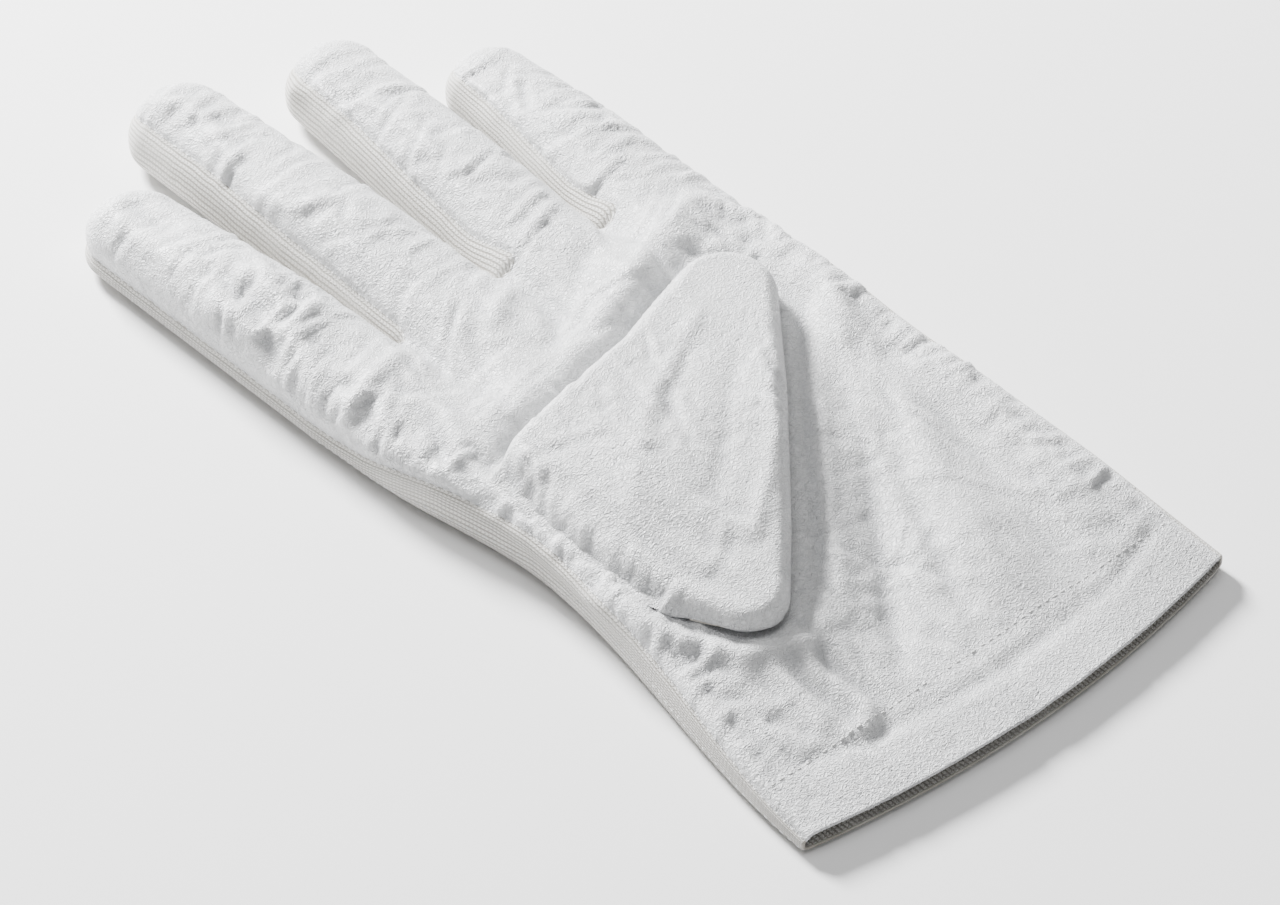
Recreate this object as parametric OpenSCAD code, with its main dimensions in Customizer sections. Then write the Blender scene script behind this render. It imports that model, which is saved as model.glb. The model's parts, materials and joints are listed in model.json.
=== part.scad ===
// Left-hand gauntlet glove for handling cold goods, lying palm up.
// Leather palm, finger fronts and thumb, knitted back and finger sides, fleece liner.
// +X runs across the hand to the little finger, +Y to the fingertips, +Z up out of the palm.
// The origin is under the middle of the outline, on the surface that the glove lies on.

/* [Hand] */
// Half of the width across the knuckles and the cuff
half_w = 67; // [65:0.5:69]
// Height of the hand, from the knitted back to the palm leather
hand_h = 16; // [14:0.5:18]
// How far the thumb side is drawn in at the wrist
wrist_in = 12; // [6:1:14]
// Distance of the wrist behind the middle of the glove
wrist_back = 45; // [40:1:50]

/* [Fingers] */
// Height of a finger, from the knitted back to the leather front
finger_h = 19; // [18:0.5:21]
// Furthest that a finger reaches in front of the middle of the glove
reach = 151; // [148:1:154]
// Distance of a finger's first bend in front of the crotch beside it
knuckle_at = 12; // [10:0.5:14]
// Part of a finger's length that lies before its middle bend
bend_at = 0.53; // [0.5:0.01:0.55]

/* [Thumb] */
// Distance of the thumb's base fold from the middle of the glove
thumb_fold = 44; // [42:0.5:46]
// Thickness of the folded thumb
thumb_h = 12; // [10:0.5:13]

/* [Cuff] */
// Height of the cuff
cuff_h = 13; // [11:0.5:15]
// Distance of the cuff fold behind the middle of the glove
cuff_back = 104; // [103:0.5:106]
// Distance of the hem's corners behind the middle of the glove
hem_corner = 144; // [142:0.5:146]
// Width of the hem band at its corners
hem_w = 14; // [10:1:16]

/* [Cloth] */
// Thickness of the leather and of the knitted cloth
skin = 1.2; // [0.8:0.1:1.4]
// Thickness of the fleece liner
fleece = 2; // [1.5:0.1:2.2]

/* [Hidden] */
$fn = 48;
gap = 0.15; // half of the clearance between two moving bodies

// name, root x, root y, tilt away from +Y towards +X, length, half width at root, at tip
FINGERS = [
    ["index", -47, 31, -3, 94, 15.6, 12.5],
    ["middle", -14.5, 34, -1.3, reach - 34, 15.8, 13],
    ["ring", 17.5, 33, 4.3, 106, 15, 12.5],
    ["little", 50, 31, 4, 80, 16.4, 11.4]
];
GUSSETS = ["index_middle_gusset", "middle_ring_gusset", "ring_little_gusset"];

leather = "#e6e8ea";
knit = "#d9d5cb";
knit_dark = "#c4bfb3";
pile = "#efe9dc";
thread = "#b9b4a8";

hem_reach = reach; // the hem bulges as far back as the middle finger reaches forward
thumb_top = hand_h + 2 * gap + thumb_h;

// ---- outline of the hand and cuff ----

function ease(t) = (1 - cos(180 * max(0, min(1, t)))) / 2;

// thumb-side edge at y: drawn in at the wrist, wider towards the hem and the knuckles
function index_edge(y) = -(half_w - wrist_in) - (y < -wrist_back
    ? wrist_in * ease((-wrist_back - y) / (hem_corner - wrist_back))
    : (wrist_in - 4.5) * ease((y + wrist_back) / 60));

function arc(c, r, a0, a1, n = 8) = [for (k = [0:n]) let (a = a0 + (a1 - a0) * k / n)
    c + r * [cos(a), sin(a)]];

// hem edge: an arc that bulges back between the two corners
hem_sag = hem_reach - hem_corner;
hem_r = (half_w * half_w + hem_sag * hem_sag) / (2 * hem_sag);
hem_turn = asin(half_w / hem_r);
function hem_edge(n = 12) = arc([0, hem_r - hem_reach], hem_r, -90 - hem_turn, -90 + hem_turn, n);

// half width of finger f at distance y in front of its crotch line
function finger_w(f, y) = f[5] + (f[6] - f[5]) * min(1, y / (f[4] - f[6]));

// point on a finger's left (-1) or right (+1) edge at distance y in front of its crotch line
function finger_edge(f, side, y) = [f[1], f[2]]
    + side * finger_w(f, y) * [cos(f[3]), -sin(f[3])] + y * [sin(f[3]), cos(f[3])];

hand_steps = 14;
hand_low = -cuff_back + gap;
hand_top = 27; // the sides are straight from here to the crotch line
stub = knuckle_at - gap; // length of a finger that belongs to the hand
FIRST = FINGERS[0];
LAST = FINGERS[3];
function index_side(low, high, d) = [for (k = [0:hand_steps])
    let (y = low + (high - low) * k / hand_steps) [index_edge(y) + d, y]];

// outer edge of the hand on either side, moved in by d, from the crotch line to the finger's stub
function index_stub_edge(d) = [for (y = [0, stub]) finger_edge(FIRST, -1, y) + [d, 0]];
function little_stub_edge(d) = [for (y = [stub, 0]) finger_edge(LAST, 1, y) - [d, 0]];

// whole hand with the finger stubs, its two sides moved in by d
module hand_outline(d) {
    polygon(concat(
        index_side(hand_low, hand_top, d),
        index_stub_edge(d),
        [finger_edge(FIRST, 1, stub), finger_edge(FIRST, 1, 0)],
        [for (k = [1, 2], p = [[-1, 0], [-1, stub], [1, stub], [1, 0]])
            finger_edge(FINGERS[k], p[0], p[1])],
        [finger_edge(LAST, -1, 0), finger_edge(LAST, -1, stub)],
        little_stub_edge(d),
        [[half_w - d, hand_top], [half_w - d, hand_low]]
    ));
}

// space in the hand behind the crotches, its two sides moved in by d
module hand_room(d) {
    polygon(concat(
        index_side(hand_low - 1, hand_top, d),
        [[half_w - d, hand_top], [half_w - d, hand_low - 1]]
    ));
}

// cuff between two distances behind the middle, its two sides moved in by d
module cuff_outline(from, to, d) {
    polygon(concat(index_side(-to, -from, d), [[half_w - d, -from], [half_w - d, -to]]));
}

module slab(z, h) {
    translate([0, 0, z]) linear_extrude(h) children();
}

// ---- hand ----

// opening in the palm under the thumb's base fold
hole_x = [-thumb_fold - 6, -thumb_fold + 12];
hole_y = [-82, -28];
module thumb_hole() {
    translate([hole_x[0], hole_y[0]])
        square([hole_x[1] - hole_x[0], hole_y[1] - hole_y[0]]);
}

module palm_leather() {
    color(leather) slab(hand_h - skin, skin) difference() {
        hand_outline(0);
        thumb_hole();
    }
}

module hand_back_knit() {
    color(knit) slab(0, skin) hand_outline(0);
}

// fleece bag inside the hand, open to the cuff, the fingers and the thumb
module hand_liner() {
    low = skin;
    high = hand_h - skin;
    room_h = high - low - 2 * fleece;
    color(pile) difference() {
        slab(low, high - low) difference() {
            hand_outline(skin);
            for (k = [0:2]) gusset_outline(k, gap);
        }
        slab(low + fleece, room_h) union() {
            hand_room(skin + fleece);
            for (f = FINGERS) finger_frame(f) stretch_between(f, -6, knuckle_at + 1, skin + fleece);
        }
        slab(high - fleece - 1, fleece + 2) thumb_hole();
        slab(low - 1, 1 + skin) wrist_band();
    }
}

band_l = 96;
band_w = 9;
module wrist_band() {
    translate([5 - band_l / 2, -wrist_back - band_w / 2]) square([band_l, band_w]);
}

module wrist_elastic() {
    color(thread) slab(skin, skin * 0.9) wrist_band();
}

// strip sewn between palm and back along the index side of the hand
module hand_index_strip() {
    inner = concat(index_side(hand_low, hand_top, skin), index_stub_edge(skin));
    color(knit_dark) slab(skin, hand_h - 2 * skin) polygon(concat(
        index_side(hand_low, hand_top, 0), index_stub_edge(0),
        [for (k = [len(inner) - 1:-1:0]) inner[k]]
    ));
}

module hand_little_strip() {
    color(knit) slab(skin, hand_h - 2 * skin) polygon(concat(
        little_stub_edge(0), [[half_w, hand_top], [half_w, hand_low]],
        [[half_w - skin, hand_low], [half_w - skin, hand_top]],
        [for (y = [0, stub]) finger_edge(LAST, 1, y) - [skin, 0]]
    ));
}

// knitted piece that closes the hand between two fingers: a foot behind the crotch
// and a thin wall along each of the two finger stubs
foot_w = skin + fleece + gap;
foot_d = 5;
module gusset_outline(k, grow = 0) {
    f = FINGERS[k];
    g = FINGERS[k + 1];
    wall = skin + grow;
    foot = foot_w + grow;
    polygon([
        finger_edge(f, 1, stub) - [wall, 0], finger_edge(f, 1, stub), finger_edge(f, 1, 0),
        finger_edge(g, -1, 0), finger_edge(g, -1, stub), finger_edge(g, -1, stub) + [wall, 0],
        finger_edge(g, -1, 0) + [foot, 0], finger_edge(g, -1, 0) + [foot, -foot_d - grow],
        finger_edge(f, 1, 0) - [foot, foot_d + grow], finger_edge(f, 1, 0) - [foot, 0]
    ]);
}

module crotch_gusset(k) {
    color(knit_dark) slab(skin, hand_h - 2 * skin) gusset_outline(k);
}

// leather that rises from the palm to the base fold of the thumb
module thumb_gusset() {
    foot = hole_x[0] - 2;
    color(leather) translate([0, hole_y[1] + 2, 0]) rotate([90, 0, 0])
        linear_extrude(hole_y[1] - hole_y[0] + 4) polygon([
            [foot, hand_h], [foot + skin, hand_h], [-thumb_fold - gap, thumb_top - skin * 1.6],
            [-thumb_fold - gap, thumb_top - gap]
        ]);
}

// ---- cuff ----

hem_start = hem_corner - hem_w;

module cuff_leather() {
    color(leather) slab(cuff_h - skin, skin) cuff_outline(cuff_back + gap, hem_start, 0);
}

module cuff_back_knit() {
    color(knit) slab(0, skin) cuff_outline(cuff_back + gap, hem_start, 0);
}

module cuff_liner() {
    inner_h = cuff_h - 2 * skin - 2 * fleece;
    color(pile) difference() {
        slab(skin, cuff_h - 2 * skin) cuff_outline(cuff_back + gap, hem_start, skin);
        slab(skin + fleece, inner_h) cuff_outline(cuff_back - 1, hem_start + 1, skin + fleece);
    }
}

module hem_band() {
    polygon(concat(
        index_side(-hem_corner, -hem_start, 0), [[half_w, -hem_start], [half_w, -hem_corner]],
        [for (k = [11:-1:1]) hem_edge()[k]]
    ));
}

module hem_leather() {
    color(leather) slab(cuff_h - 2 * skin, 2 * skin) hem_band();
}

module hem_knit() {
    color(knit) slab(0, 2 * skin) hem_band();
}

// side strips of the cuff; they end between the two turned hems
module cuff_strip_sides(side) {
    slab(skin, cuff_h - 2 * skin) intersection() {
        difference() {
            cuff_outline(cuff_back + gap, hem_start, 0);
            cuff_outline(cuff_back - 1, hem_start + 1, skin);
        }
        translate([side * half_w, -125]) square([half_w, 60], center = true);
    }
    slab(2 * skin, cuff_h - 4 * skin) intersection() {
        difference() {
            cuff_outline(hem_start, hem_corner, 0);
            cuff_outline(hem_start - 1, hem_corner + 1, skin);
        }
        translate([side * half_w, -135]) square([half_w, 60], center = true);
    }
}

module cuff_index_strip() {
    color(knit_dark) cuff_strip_sides(-1);
}

module cuff_little_strip() {
    color(knit) cuff_strip_sides(1);
}

// ---- fingers ----

module finger_frame(f) {
    translate([f[1], f[2], 0]) rotate([0, 0, -f[3]]) children();
}

function finger_bend(f) = f[4] * bend_at;

// stretch of a finger between two distances from its crotch line, sides moved in by d
module stretch_between(f, from, to, d) {
    w = [finger_w(f, from) - d, finger_w(f, to) - d];
    polygon([[-w[0], from], [w[0], from], [w[1], to], [-w[1], to]]);
}

// stretch between the two bends
module base_outline(f, d, over = 0) {
    stretch_between(f, knuckle_at + gap - over, finger_bend(f) - gap + over, d);
}

// stretch beyond the middle bend, with a round end
module tip_outline(f, d, over = 0) {
    a = finger_bend(f) + gap - over;
    w = finger_w(f, a) - d;
    polygon(concat([[-w, a], [w, a]], arc([0, f[4] - f[6]], f[6] - d, 0, 180, 14)));
}

module stretch_outline(f, tip, d, over = 0) {
    if (tip) tip_outline(f, d, over);
    else base_outline(f, d, over);
}

module finger_leather(f, tip) {
    color(leather) finger_frame(f) slab(finger_h - skin, skin) stretch_outline(f, tip, 0);
}

module finger_knit(f, tip) {
    color(knit) finger_frame(f) slab(0, skin) stretch_outline(f, tip, 0);
}

// fourchette: the knitted wall round the finger
module finger_sides(f, tip) {
    color(knit_dark) finger_frame(f) slab(skin, finger_h - 2 * skin) difference() {
        stretch_outline(f, tip, 0);
        stretch_outline(f, tip, skin, 1);
    }
}

module finger_liner(f, tip) {
    inner_h = finger_h - 2 * skin - 2 * fleece;
    color(pile) finger_frame(f) difference() {
        slab(skin, finger_h - 2 * skin) stretch_outline(f, tip, skin);
        slab(skin + fleece, inner_h) stretch_outline(f, tip, skin + fleece, 1);
    }
}

// ---- thumb, folded flat over the palm ----

thumb_z = hand_h + 2 * gap;
tip_r = 12.5;
heel_r = 11;
tip_c = [33, -12.5];
heel_c = [-thumb_fold + heel_r + 1, -89.5];

// outline from the base fold round the tip and the heel; moved in by d, cut off at x = from
module thumb_outline(d, from) {
    polygon(concat(
        [[from, -90 + d], [from, -24 - d], [max(from, -40), -18.5 - d], [0, -10.5 - d]],
        arc(tip_c, tip_r - d, 108, -42, 12),
        arc(heel_c, heel_r - d, -42, -150, 8)
    ));
}

fold_x = -thumb_fold + gap;
module thumb_front() {
    color(leather) slab(thumb_top - skin, skin) thumb_outline(0, fold_x);
}

// the underside, rim and liner start beyond the opening in the palm
mouth_x = hole_x[1] + 1;
module thumb_beyond_mouth(d, from = mouth_x) {
    intersection() {
        thumb_outline(d, fold_x);
        translate([from, -150]) square([120, 200]);
    }
}

module thumb_back() {
    color(leather) slab(thumb_z, skin) thumb_beyond_mouth(0);
}

module thumb_rim() {
    color(leather) slab(thumb_z + skin, thumb_h - 2 * skin) difference() {
        thumb_beyond_mouth(0);
        thumb_beyond_mouth(skin, mouth_x - 1);
    }
}

thumb_fleece = fleece * 0.8;
module thumb_liner() {
    inner_h = thumb_h - 2 * skin - 2 * thumb_fleece;
    color(pile) difference() {
        slab(thumb_z + skin, thumb_h - 2 * skin) thumb_beyond_mouth(skin);
        slab(thumb_z + skin + thumb_fleece, inner_h)
            thumb_beyond_mouth(skin + thumb_fleece, mouth_x - 1);
    }
}

// ---- the assembly ----

palm_leather();
hand_back_knit();
hand_liner();
wrist_elastic();
thumb_gusset();
hand_index_strip();
hand_little_strip();
for (k = [0:2]) crotch_gusset(k);
cuff_leather();
cuff_back_knit();
cuff_liner();
hem_leather();
hem_knit();
cuff_index_strip();
cuff_little_strip();
thumb_front();
thumb_back();
thumb_rim();
thumb_liner();
for (f = FINGERS, p = ["base", "tip"]) {
    finger_leather(f, p == "tip");
    finger_knit(f, p == "tip");
    finger_sides(f, p == "tip");
    finger_liner(f, p == "tip");
}
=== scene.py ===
import json
import math

import bpy
import numpy as np
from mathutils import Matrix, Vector
from mathutils.bvhtree import BVHTree


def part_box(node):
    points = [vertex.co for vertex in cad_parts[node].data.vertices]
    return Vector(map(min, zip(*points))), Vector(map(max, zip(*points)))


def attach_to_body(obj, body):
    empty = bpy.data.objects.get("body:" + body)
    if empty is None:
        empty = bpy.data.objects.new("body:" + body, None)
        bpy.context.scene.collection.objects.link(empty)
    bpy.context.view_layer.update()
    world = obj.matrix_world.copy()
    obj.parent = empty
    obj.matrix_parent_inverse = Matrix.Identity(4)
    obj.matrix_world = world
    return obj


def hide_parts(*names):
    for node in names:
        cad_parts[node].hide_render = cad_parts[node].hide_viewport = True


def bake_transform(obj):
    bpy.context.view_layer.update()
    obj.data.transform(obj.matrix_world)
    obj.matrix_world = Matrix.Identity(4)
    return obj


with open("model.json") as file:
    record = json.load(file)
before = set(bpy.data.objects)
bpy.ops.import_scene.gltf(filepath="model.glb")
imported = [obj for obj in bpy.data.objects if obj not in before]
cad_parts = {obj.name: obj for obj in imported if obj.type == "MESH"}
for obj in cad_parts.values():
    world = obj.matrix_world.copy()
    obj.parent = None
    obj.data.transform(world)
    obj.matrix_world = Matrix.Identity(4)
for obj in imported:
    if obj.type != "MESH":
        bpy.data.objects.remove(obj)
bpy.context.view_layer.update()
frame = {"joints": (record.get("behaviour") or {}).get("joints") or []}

# Everything below is worked out in millimetres and becomes metres when a mesh is made.
MM = 0.001
CELL = 2.3          # size of a mesh cell before subdivision
JOINTS = {j["name"]: j for j in frame["joints"]}


def node_box(name):
    """Lowest and highest corner of a CAD node, in millimetres."""
    low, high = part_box(name)
    return np.array(low) / MM, np.array(high) / MM


def ease(t):
    t = np.clip(t, 0.0, 1.0)
    return t * t * (3 - 2 * t)


def mix(a, b, t):
    return a + (b - a) * t


# ---------------------------------------------------------------- camera, light and floor

VIEW_AZIMUTH, VIEW_ELEVATION = math.radians(-42), math.radians(42)
VIEW_DISTANCE = 1.0135
AIM = Vector((-0.0065, -0.0251, 0.0))


def make_camera():
    back = Vector((
        math.sin(VIEW_AZIMUTH) * math.cos(VIEW_ELEVATION),
        -math.cos(VIEW_AZIMUTH) * math.cos(VIEW_ELEVATION),
        math.sin(VIEW_ELEVATION),
    ))
    data = bpy.data.cameras.new("camera")
    data.lens = 120
    data.sensor_width = 36
    cam = bpy.data.objects.new("camera", data)
    cam.location = AIM + back * VIEW_DISTANCE
    cam.rotation_mode = "QUATERNION"
    cam.rotation_quaternion = (-back).to_track_quat("-Z", "Y")
    bpy.context.collection.objects.link(cam)
    bpy.context.scene.camera = cam


def area_light(name, place, size, power):
    data = bpy.data.lights.new(name, "AREA")
    data.shape = "DISK"
    data.size = size
    data.energy = power
    lamp = bpy.data.objects.new(name, data)
    lamp.location = place
    lamp.rotation_mode = "QUATERNION"
    lamp.rotation_quaternion = (-Vector(place)).to_track_quat("-Z", "Y")
    bpy.context.collection.objects.link(lamp)


def make_lights():
    area_light("key_light", (0.12, 1.2, 0.66), 0.38, 116)
    area_light("top_light", (-0.1, 0.1, 1.4), 1.0, 9)
    world = bpy.data.worlds.new("studio")
    world.use_nodes = True
    world.node_tree.nodes["Background"].inputs["Color"].default_value = (1, 1, 1, 1)
    world.node_tree.nodes["Background"].inputs["Strength"].default_value = 0.30
    bpy.context.scene.world = world


def make_floor():
    mesh = bpy.data.meshes.new("floor")
    half = 3.0
    mesh.from_pydata([(-half, -half, 0), (half, -half, 0), (half, half, 0), (-half, half, 0)],
                     [], [(0, 1, 2, 3)])
    floor = bpy.data.objects.new("floor", mesh)
    floor.location.z = -0.0004
    bpy.context.collection.objects.link(floor)
    paint = bpy.data.materials.new("floor_paint")
    paint.use_nodes = True
    shader = paint.node_tree.nodes["Principled BSDF"]
    shader.inputs["Base Color"].default_value = (0.95, 0.95, 0.95, 1)
    shader.inputs["Roughness"].default_value = 0.9
    floor.data.materials.append(paint)


# ---------------------------------------------------------------- the glove's plan

hem_low, hem_high = node_box("hem_leather")
HALF_W = hem_high[0]                  # half width of the cuff
HEM_REACH = -hem_low[1]               # furthest point of the hem behind the middle
HEM_CORNER = HEM_REACH - 7            # its corners, on the thumb and the little side
HEM_START = -hem_high[1]              # where the hem band begins
CUFF_FOLD = -JOINTS["cuff_fold"]["pos_m"][1] / MM
WRIST_BACK = 45
CUFF_SPLIT = CUFF_FOLD - 11           # hand and cuff pieces meet here


def index_edge(y):
    """Thumb-side edge of the glove: drawn in at the wrist, wider to the hem and the knuckles."""
    to_hem = 12 * ease((-WRIST_BACK - y) / (HEM_CORNER - WRIST_BACK))
    to_knuckles = 7.5 * ease((y + WRIST_BACK) / 60)
    return -(HALF_W - 12) - np.where(y < -WRIST_BACK, to_hem, to_knuckles)


def little_edge(y):
    return HALF_W - 1.6 * np.exp(-(((y + 55) / 45) ** 2))


# Cross sections are rounded boxes: an angle of 0 is straight up, 180 degrees straight down.
UNDER = math.radians(145)             # where the side cloth meets the back


def box_round(angle, width, mid, top, flat_top=0.9, flat_side=0.85):
    """Outward distance and height of a rounded section at an angle from straight up."""
    s, c = np.sin(angle), np.cos(angle)
    out = width * np.sign(s) * np.abs(s) ** flat_side
    up = mid + (top - mid) * np.abs(c) ** flat_top
    down = mid - mid * np.abs(c) ** 0.45
    return out, np.where(c >= 0, up, down)


FINGER_CELLS = 14                     # cells across a finger, and across the palm per finger
WALL_CELLS = 9                        # cells down a side
KNUCKLE_AT = 12.0                     # a finger's shape begins this far before its knuckle
SEAM_GAP = 10                         # finger pieces meet this far before the middle bend

# name, half width at crotch and tip, heights at crotch, middle and tip,
# seam angles on the left, right and at the tip
FINGER_SHAPES = [
    ("index", 15.6, 12.8, (17.5, 20.0, 17.0), (93, 76, 95)),
    ("middle", 15.8, 13.2, (18.5, 21.5, 19.0), (64, 78, 80)),
    ("ring", 15.0, 12.8, (18.5, 21.0, 18.5), (63, 76, 80)),
    ("little", 16.2, 11.6, (18.0, 19.0, 16.0), (62, 66, 80)),
]


class Finger:
    """Shape of one finger: its own frame, widths and heights along it."""

    def __init__(self, name, w_root, w_tip, heights, seams):
        knuckle, bend = JOINTS[name + "_curl"], JOINTS[name + "_tip_curl"]
        self.name = name
        self.across = np.array([knuckle["axis"][0], knuckle["axis"][1]], float)
        self.along = np.array([-self.across[1], self.across[0]])
        pivot = np.array(knuckle["pos_m"][:2]) / MM
        self.root = pivot - self.along * KNUCKLE_AT
        self.bend = float(self.along @ (np.array(bend["pos_m"][:2]) / MM - self.root))
        self.reach = (node_box(name + "_tip_knit")[1][1] - self.root[1]) / self.along[1]
        self.w = (w_root, w_tip)
        self.heights = heights
        self.seams = [math.radians(a) for a in seams]
        self.cap = self.reach - w_tip          # the round end starts here
        self.rows = round(self.cap / CELL)
        self.cap_rows = 7
        self.step = self.cap / self.rows
        self.split = int((self.bend - SEAM_GAP) / self.step)    # rows of the base piece

    def width(self, v):
        return mix(self.w[0], self.w[1], np.clip(v / self.cap, 0, 1))

    def top(self, v):
        t = np.clip(v / self.cap, 0, 1)
        low, mid, tip = self.heights
        return np.where(t < 0.4, mix(low, mid, ease(t / 0.4)), mix(mid, tip, ease((t - 0.4) / 0.6)))

    def seam(self, ex, ey, v=None):
        """Angle of the seam between front and side; on the left it climbs to the tip and crotch."""
        left, right, tip = self.seams
        if v is not None and self.name != "index":
            left = left - math.radians(12) * ease((v - 0.35 * self.cap) / (0.5 * self.cap))
            if self.name != "middle":
                left = mix(math.radians(38), left, ease((v + 2) / 22))
        return np.where(ex < 0, left, right) * ex ** 2 + tip * ey ** 2

    def place(self, v, ex, ey, angle):
        """Points at distance v along the finger, in plan direction (ex, ey), at a section angle."""
        out, z = box_round(angle, self.width(v), 8.0, self.top(v))
        side, ahead = ex * out, v + ey * out
        xy = self.root + np.multiply.outer(side, self.across) + np.multiply.outer(ahead, self.along)
        return np.concatenate([xy, z[..., None]], axis=-1)

    def grid(self):
        """Distance along, plan direction and 0..1 share of the way to the seam, per vertex."""
        u = np.linspace(-1, 1, FINGER_CELLS + 1)
        v, ex, ey, share = [], [], [], []
        for r in range(self.rows + 1):
            v.append(np.full_like(u, r * self.cap / self.rows))
            ex.append(np.where(u < 0, -1.0, 1.0))
            ey.append(np.zeros_like(u))
            share.append(np.abs(u))
        for k in range(1, self.cap_rows + 1):
            h = k / self.cap_rows
            a, b = u * math.sqrt(1 - h * h / 2), h * np.sqrt(1 - u * u / 2)
            q = np.hypot(a, b)
            v.append(np.full_like(u, self.cap))
            ex.append(a / np.maximum(q, 1e-9))
            ey.append(b / np.maximum(q, 1e-9))
            share.append(q)
        return [np.array(x) for x in (v, ex, ey, share)]

    def top_patch(self):
        v, ex, ey, share = self.grid()
        return self.place(v, ex, ey, share * self.seam(ex, ey, v))

    def back_patch(self):
        v, ex, ey, share = self.grid()
        return self.place(v, ex, ey, math.pi - share * (math.pi - UNDER))

    def rim(self, patch):
        """The patch's edge from the left crotch round the tip to the right crotch."""
        return np.concatenate([patch[:, 0], patch[-1, 1:-1], patch[::-1, -1]])

    def wall_patch(self):
        v, ex, ey, _ = [self.rim(g) for g in self.grid()]
        seam = self.seam(ex, ey, v)
        drop = np.linspace(0, 1, WALL_CELLS + 1)
        angle = seam[:, None] + (UNDER - seam)[:, None] * drop
        wide = [np.repeat(g[:, None], WALL_CELLS + 1, axis=1) for g in (v, ex, ey)]
        wall = self.place(*wide, angle)
        plump = 1.5 * np.sin(drop * math.pi) * np.ones_like(angle)
        away = np.multiply.outer(ex, self.across) + np.multiply.outer(ey, self.along)
        wall[..., :2] += plump[..., None] * away[:, None]
        return wall


FINGERS = [Finger(*shape) for shape in FINGER_SHAPES]
COLUMNS = 4 * FINGER_CELLS

# The palm and cuff: rows from the hem to the crotch line
HEM_ROWS, CUFF_ROWS = 9, 16
HAND_ROWS = 55
ROWS = HEM_ROWS + CUFF_ROWS + HAND_ROWS
CROTCH_Y = 32                         # plan y of the last row, before it follows the crotches


def crotch_line():
    """Plan position of each column's end at the crotches, left to right."""
    ends = []
    for f in FINGERS:
        ends.append(f.top_patch()[0, :, :2])
    line = [ends[0][0]]
    for k, row in enumerate(ends):
        last = row[-1] if k == 3 else (row[-1] + ends[k + 1][0]) / 2
        line += list(row[1:-1]) + [last]
    return np.array(line)


def hem_curve(x):
    """How far behind the middle the hem reaches at x: an arc between its corners."""
    return HEM_CORNER + (HEM_REACH - HEM_CORNER) * (1 - (x / HALF_W) ** 2)


def hand_section(y, part):
    """A dense section of the hand or cuff at y: 'top', 'back', 'left' or 'right'."""
    mid = np.interp(y, [-150, -104, -45, 30], [2.2, 4.6, 7.2, 8.0])
    top = np.interp(y, [-150, -130, -104, -60, 0, 30], [4.6, 7.2, 11.0, 14.4, 16.0, 16.5])
    edge_w = np.interp(y, [-150, -45, 30], [4.0, 7.5, 8.5])
    left, right = float(index_edge(y)) + edge_w, float(little_edge(y)) - edge_w
    seam_left = math.radians(np.interp(y, [-150, -120, -90, -40, 0, 30], [72, 56, 46, 46, 64, 93]))
    seam_right = math.radians(np.interp(y, [-150, 0, 30], [40, 42, 66]))
    if part == "left":
        out, z = box_round(np.linspace(seam_left, UNDER, WALL_CELLS + 1), edge_w, mid, top)
        return np.stack([left - out, z], axis=1)
    if part == "right":
        out, z = box_round(np.linspace(seam_right, UNDER, WALL_CELLS + 1), edge_w, mid, top)
        return np.stack([right + out, z], axis=1)
    ends = (seam_left, seam_right) if part == "top" else (UNDER, UNDER)
    flat = 0.0 if part == "top" else math.pi
    out_l, z_l = box_round(np.linspace(ends[0], flat, 24), edge_w, mid, top)
    out_r, z_r = box_round(np.linspace(flat, ends[1], 24), edge_w, mid, top)
    x = np.concatenate([left - out_l, right + out_r])
    return np.stack([x, np.concatenate([z_l, z_r])], axis=1)


def resample(line, count):
    """count + 1 points spread evenly along a polyline."""
    steps = np.linalg.norm(np.diff(line[:, :3], axis=0), axis=1)
    s = np.concatenate([[0], np.cumsum(steps)])
    at = np.linspace(0, s[-1], count + 1)
    return np.stack([np.interp(at, s, line[:, k]) for k in range(line.shape[1])], axis=1)


def row_heights():
    """Plan y of every row, from the hem's corners to the crotch line's middle."""
    return np.concatenate([
        np.linspace(-HEM_CORNER, -HEM_START, HEM_ROWS + 1)[:-1],
        np.linspace(-HEM_START, -CUFF_SPLIT, CUFF_ROWS + 1)[:-1],
        np.linspace(-CUFF_SPLIT, CROTCH_Y, HAND_ROWS + 1),
    ])


FADE = 46      # the fingers' shapes fade into the palm over this length


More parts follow.
